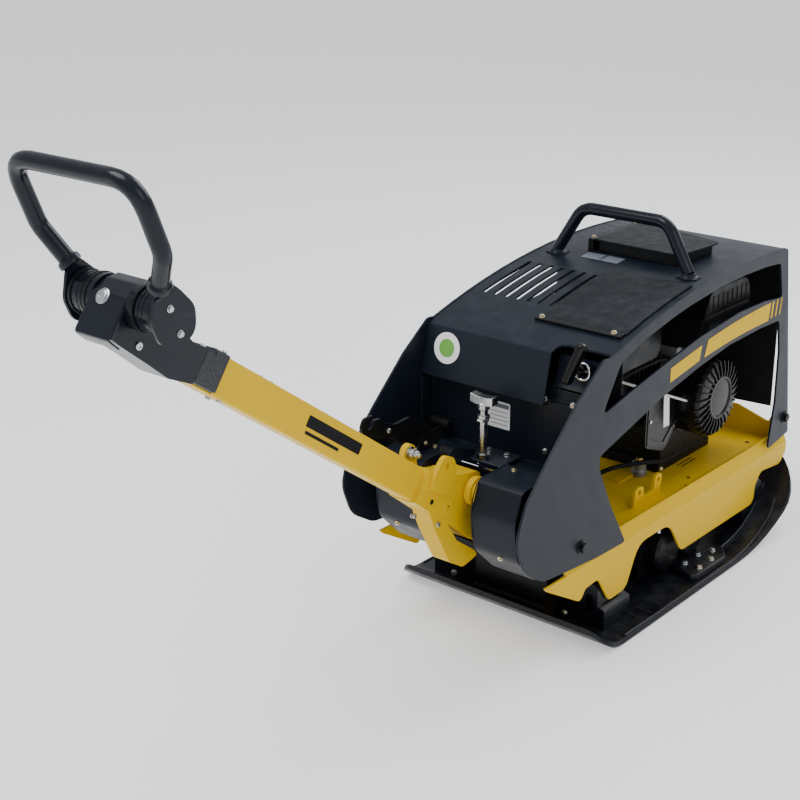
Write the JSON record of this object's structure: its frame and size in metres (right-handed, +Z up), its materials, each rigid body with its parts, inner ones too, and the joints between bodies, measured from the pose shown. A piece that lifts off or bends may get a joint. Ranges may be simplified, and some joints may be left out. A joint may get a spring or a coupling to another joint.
{
  "type": "reversible plate compactor",
  "caption": "Hand-guided reversible plate compactor with an engine under a protective hood, a swept-up base plate and a hinged drawbar with a steering bow.",
  "frame": {"origin": "on the ground, under the middle of the base plate", "axes": "+X to the operator's right, +Y forward, +Z up; the drawbar points back along -Y"},
  "size_m": [0.524, 1.8695, 1.0932],
  "materials": {
    "slate_powder_coat": "satin powder coat",
    "black_coated_steel": "satin coating, lightly scuffed",
    "signal_yellow": "semi-gloss paint",
    "black_rubber": "matt",
    "black_plastic": "fine grain",
    "zinc_plated_steel": "zinc plated",
    "machined_steel": "machined",
    "cast_alloy": "as cast",
    "chrome": "polished",
    "starter_cord": "braided"
  },
  "bodies": {
    "machine": {"base_plate": "black_coated_steel", "exciter_housing": "black_coated_steel", "exciter_cap_right": "black_coated_steel", "exciter_cap_left": "black_coated_steel", "rear_buffer_right": "black_rubber", "rear_buffer_left": "black_rubber", "front_buffer_right": "black_rubber", "front_buffer_left": "black_rubber", "rear_crossmember": "black_coated_steel", "machine_frame": "signal_yellow", "hood_side_right": "slate_powder_coat", "hood_side_left": "slate_powder_coat", "hood_roof": "slate_powder_coat", "rear_wall": "slate_powder_coat", "access_cover": "slate_powder_coat", "starter_recess": "slate_powder_coat", "guide_ring": "chrome", "front_panel": "black_plastic", "rear_shelf": "slate_powder_coat", "pole_cover_right": "slate_powder_coat", "pole_cover_left": "slate_powder_coat", "bearing_frame": "black_coated_steel", "lifting_bow": "slate_powder_coat", "rear_clamp_bar": "black_plastic", "top_box": "black_plastic", "top_clamp_bar": "black_plastic", "engine_block": "cast_alloy", "engine_cylinder": "cast_alloy", "recoil_cover": "black_plastic", "engine_shroud": "slate_powder_coat", "fuel_tank": "black_plastic", "air_filter": "black_plastic", "muffler": "black_coated_steel", "starter_rope": "starter_cord", "v_belt": "black_rubber", "spindle_bracket": "slate_powder_coat", "stop_buffer": "black_rubber", "latch_bracket": "black_coated_steel"},
    "drawbar_body": {"drawbar": "signal_yellow", "drawbar_yoke": "signal_yellow", "head_casting": "black_coated_steel", "head_cover": "slate_powder_coat"},
    "steering_bow_body": {"steering_bow": "slate_powder_coat"},
    "spindle": {"adjusting_spindle": "zinc_plated_steel"},
    "latch": {"transport_latch": "black_coated_steel"},
    "rear_flap_body": {"rear_flap": "black_rubber"},
    "top_flap_body": {"top_flap": "black_rubber"},
    "fuel_cap_body": {"fuel_cap": "black_plastic"},
    "grip": {"starter_grip": "black_plastic"},
    "reel": {"recoil_reel": "black_plastic"},
    "crank": {"crankshaft": "machined_steel"},
    "front_eccentric": {"front_eccentric_shaft": "machined_steel"},
    "rear_eccentric": {"rear_eccentric_shaft": "machined_steel"}
  },
  "joints": [
    {"name": "drawbar_pivot", "type": "hinge", "parent": "machine", "child": "drawbar_body", "pos_m": [0, -0.536, 0.336], "axis": [-1, 0, 0], "range_deg": [0, 50]},
    {"name": "bow_pivot", "type": "hinge", "parent": "drawbar_body", "child": "steering_bow_body", "pos_m": [0, -1.312, 0.876], "axis": [1, 0, 0], "range_deg": [-20, 20], "stiffness_Nm_per_rad": 120},
    {"name": "spindle_turn", "type": "hinge", "parent": "machine", "child": "spindle", "pos_m": [-0.008, -0.447, 0.361], "axis": [0, 0, 1], "continuous": true},
    {"name": "latch_pivot", "type": "hinge", "parent": "machine", "child": "latch", "pos_m": [-0.107, -0.469, 0.3965], "axis": [-1, 0, 0], "range_deg": [0, 25]},
    {"name": "rear_flap_hinge", "type": "hinge", "parent": "machine", "child": "rear_flap_body", "pos_m": [0.096, -0.27, 0.60827], "axis": [1, 0, 0], "range_deg": [0, 75]},
    {"name": "top_flap_hinge", "type": "hinge", "parent": "machine", "child": "top_flap_body", "pos_m": [-0.092, 0.15, 0.6825], "axis": [0, -1, 0], "range_deg": [0, 70]},
    {"name": "fuel_cap_turn", "type": "hinge", "parent": "machine", "child": "fuel_cap_body", "pos_m": [0.01, 0.13, 0.6643], "axis": [0, 0, 1], "range_deg": [0, 90]},
    {"name": "starter_pull", "type": "slide", "parent": "machine", "child": "grip", "axis": [0, -0.8, 0.6], "range_m": [0, 0.45], "stiffness_N_per_m": 15, "springref_m": -0.3},
    {"name": "reel_turn", "type": "hinge", "parent": "machine", "child": "reel", "pos_m": [0, 0.151, 0.36], "axis": [1, 0, 0], "range_deg": [0, 540]},
    {"name": "crank_turn", "type": "hinge", "parent": "machine", "child": "crank", "pos_m": [0, 0.151, 0.36], "axis": [1, 0, 0], "continuous": true},
    {"name": "front_eccentric_turn", "type": "hinge", "parent": "machine", "child": "front_eccentric", "pos_m": [0, 0.065, 0.068], "axis": [1, 0, 0], "continuous": true},
    {"name": "rear_eccentric_turn", "type": "hinge", "parent": "machine", "child": "rear_eccentric", "pos_m": [0, -0.035, 0.068], "axis": [1, 0, 0], "continuous": true}
  ],
  "couplings": [
    {"joint": "reel_turn", "follows": "starter_pull", "rad_per_m": 20},
    {"joint": "front_eccentric_turn", "follows": "crank_turn", "ratio": 1.12},
    {"joint": "rear_eccentric_turn", "follows": "crank_turn", "ratio": -1.12}
  ]
}
